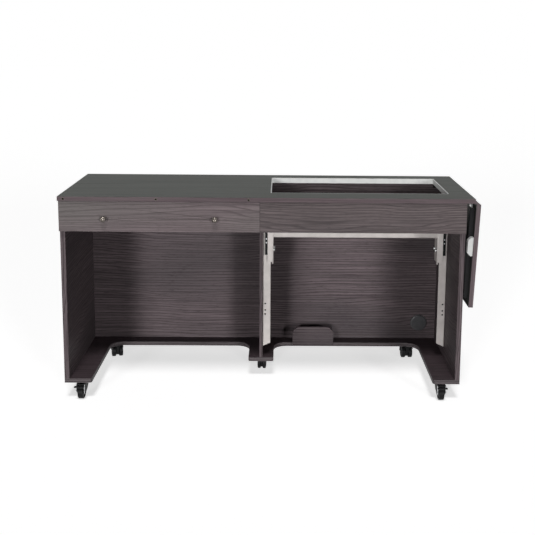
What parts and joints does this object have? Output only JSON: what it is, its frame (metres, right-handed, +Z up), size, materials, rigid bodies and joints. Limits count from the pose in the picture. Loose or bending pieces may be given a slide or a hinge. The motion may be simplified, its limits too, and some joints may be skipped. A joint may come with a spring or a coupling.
{
  "type": "sewing cabinet",
  "caption": "Sewing cabinet on casters: laminate carcass with a machine opening and lift, a shallow drawer and a drop leaf on folding brackets.",
  "frame": {"origin": "on the floor under the middle of the cabinet's overall width and depth, with the leaf hanging", "axes": "+X from the drawer end to the leaf end, +Y from the front to the back, +Z up"},
  "size_m": [1.4996, 0.554, 0.763],
  "materials": {
    "laminate": "grey-brown wood-grain laminate, satin",
    "top_laminate": "grey wood-grain laminate, satin",
    "inner_laminate": "dark grey wood-grain laminate, satin",
    "lift_paint": "cream powder coat",
    "platform_board": "white melamine board, matt",
    "white_plastic": "white moulded plastic",
    "black_plastic": "black moulded nylon",
    "wheel_plastic": "black moulded nylon",
    "black_steel": "black lacquered steel",
    "nickel": "nickel plated, polished",
    "zinc": "zinc plated steel"
  },
  "bodies": {
    "cabinet": {"top_slab": "top_laminate", "edge_inserts": "nickel", "opening_trim": "white_plastic", "left_side_panel": "laminate", "right_side_panel": "laminate", "centre_divider": "laminate", "back_panel": "inner_laminate", "bottom_board": "laminate", "right_fascia": "laminate", "pedal_stop_board": "laminate", "slab_corner_blocks": "black_plastic", "carcass_screws": "zinc", "cable_grommet": "black_plastic", "drawer_fixed_runners": "zinc", "left_lift_upright": "lift_paint", "right_lift_upright": "lift_paint", "lift_upright_screws": "zinc", "gas_spring_cylinders": "black_steel", "hinge_slab_flaps": "zinc", "hinge_slab_screws": "zinc", "hinge_pins": "zinc", "bracket_wall_plates": "black_steel", "bracket_pivot_pins": "zinc", "bracket_screws": "zinc", "caster_plates": "black_steel", "caster_screws": "zinc"},
    "grommet_cap": {"grommet_cap": "black_plastic"},
    "drawer": {"drawer_front": "laminate", "drawer_inner_front": "inner_laminate", "drawer_left_side": "inner_laminate", "drawer_right_side": "inner_laminate", "drawer_back": "inner_laminate", "drawer_bottom": "inner_laminate", "drawer_knobs": "nickel", "drawer_sliding_runners": "zinc"},
    "lift": {"left_lift_carriage": "lift_paint", "right_lift_carriage": "lift_paint", "lift_guide_shoes": "black_plastic", "lift_carriage_screws": "zinc", "lift_cross_bar": "lift_paint", "lift_platform": "platform_board", "gas_spring_rods": "zinc"},
    "leaf": {"drop_leaf": "laminate", "hinge_leaf_flaps": "zinc", "hinge_leaf_screws": "zinc", "bracket_channels": "black_steel", "leaf_stop_blocks": "white_plastic"},
    "braces": {"bracket_braces": "black_steel"},
    "swivel_front_left": {"caster_housing_front_left": "black_plastic"},
    "swivel_front_right": {"caster_housing_front_right": "black_plastic"},
    "swivel_rear_left": {"caster_housing_rear_left": "black_plastic"},
    "swivel_rear_right": {"caster_housing_rear_right": "black_plastic"},
    "swivel_centre": {"caster_housing_centre": "black_plastic"},
    "wheel_front_left": {"caster_wheel_front_left": "wheel_plastic"},
    "wheel_front_right": {"caster_wheel_front_right": "wheel_plastic"},
    "wheels_rear_left": {"caster_wheels_rear_left": "wheel_plastic"},
    "wheels_rear_right": {"caster_wheels_rear_right": "wheel_plastic"},
    "wheel_centre": {"caster_wheel_centre": "wheel_plastic"},
    "brake_front_left": {"caster_brake_front_left": "black_plastic"},
    "brake_front_right": {"caster_brake_front_right": "black_plastic"}
  },
  "joints": [
    {"name": "drawer_slide", "type": "slide", "parent": "cabinet", "child": "drawer", "axis": [0, -1, 0], "range_m": [0, 0.35]},
    {"name": "lift_slide", "type": "slide", "parent": "cabinet", "child": "lift", "axis": [0, 0, 1], "range_m": [-0.15, 0.12]},
    {"name": "leaf_hinge", "type": "hinge", "parent": "cabinet", "child": "leaf", "pos_m": [0.73067, 0.008, 0.7438], "axis": [0, -1, 0], "range_deg": [0, 92.3]},
    {"name": "brace_swing", "type": "hinge", "parent": "cabinet", "child": "braces", "pos_m": [0.71167, 0.008, 0.6038], "axis": [0, -1, 0], "range_deg": [-1, 133.38]},
    {"name": "grommet_turn", "type": "hinge", "parent": "cabinet", "child": "grommet_cap", "pos_m": [0.61617, 0.243, 0.15], "axis": [0, 1, 0], "continuous": true},
    {"name": "front_left_swivel", "type": "hinge", "parent": "cabinet", "child": "swivel_front_left", "pos_m": [-0.68883, -0.197, 0.0475], "axis": [0, 0, 1], "continuous": true},
    {"name": "front_left_roll", "type": "hinge", "parent": "swivel_front_left", "child": "wheel_front_left", "pos_m": [-0.69037, -0.21895, 0.025], "axis": [0.9976, -0.0698, 0], "continuous": true},
    {"name": "front_left_brake_tip", "type": "hinge", "parent": "swivel_front_left", "child": "brake_front_left", "pos_m": [-0.69204, -0.24289, 0.054], "axis": [0.9976, -0.0698, 0], "range_deg": [0, 20]},
    {"name": "front_right_swivel", "type": "hinge", "parent": "cabinet", "child": "swivel_front_right", "pos_m": [0.63617, -0.197, 0.0475], "axis": [0, 0, 1], "continuous": true},
    {"name": "front_right_roll", "type": "hinge", "parent": "swivel_front_right", "child": "wheel_front_right", "pos_m": [0.63694, -0.21899, 0.025], "axis": [0.9994, 0.0349, 0], "continuous": true},
    {"name": "front_right_brake_tip", "type": "hinge", "parent": "swivel_front_right", "child": "brake_front_right", "pos_m": [0.63777, -0.24297, 0.054], "axis": [0.9994, 0.0349, 0], "range_deg": [0, 20]},
    {"name": "rear_left_swivel", "type": "hinge", "parent": "cabinet", "child": "swivel_rear_left", "pos_m": [-0.63383, 0.221, 0.0475], "axis": [0, 0, 1], "continuous": true},
    {"name": "rear_left_roll", "type": "hinge", "parent": "swivel_rear_left", "child": "wheels_rear_left", "pos_m": [-0.6399, 0.24215, 0.025], "axis": [-0.9613, -0.2756, 0], "continuous": true},
    {"name": "rear_right_swivel", "type": "hinge", "parent": "cabinet", "child": "swivel_rear_right", "pos_m": [0.57017, 0.221, 0.0475], "axis": [0, 0, 1], "continuous": true},
    {"name": "rear_right_roll", "type": "hinge", "parent": "swivel_rear_right", "child": "wheels_rear_right", "pos_m": [0.56863, 0.24295, 0.025], "axis": [-0.9976, -0.0698, 0], "continuous": true},
    {"name": "centre_swivel", "type": "hinge", "parent": "cabinet", "child": "swivel_centre", "pos_m": [-0.03483, 0.084, 0.0475], "axis": [0, 0, 1], "continuous": true},
    {"name": "centre_roll", "type": "hinge", "parent": "swivel_centre", "child": "wheel_centre", "pos_m": [-0.03253, 0.10588, 0.025], "axis": [-0.9945, 0.1045, 0], "continuous": true}
  ],
  "couplings": [
    {"joint": "brace_swing", "follows": "leaf_hinge", "ratio": 1.4342}
  ]
}
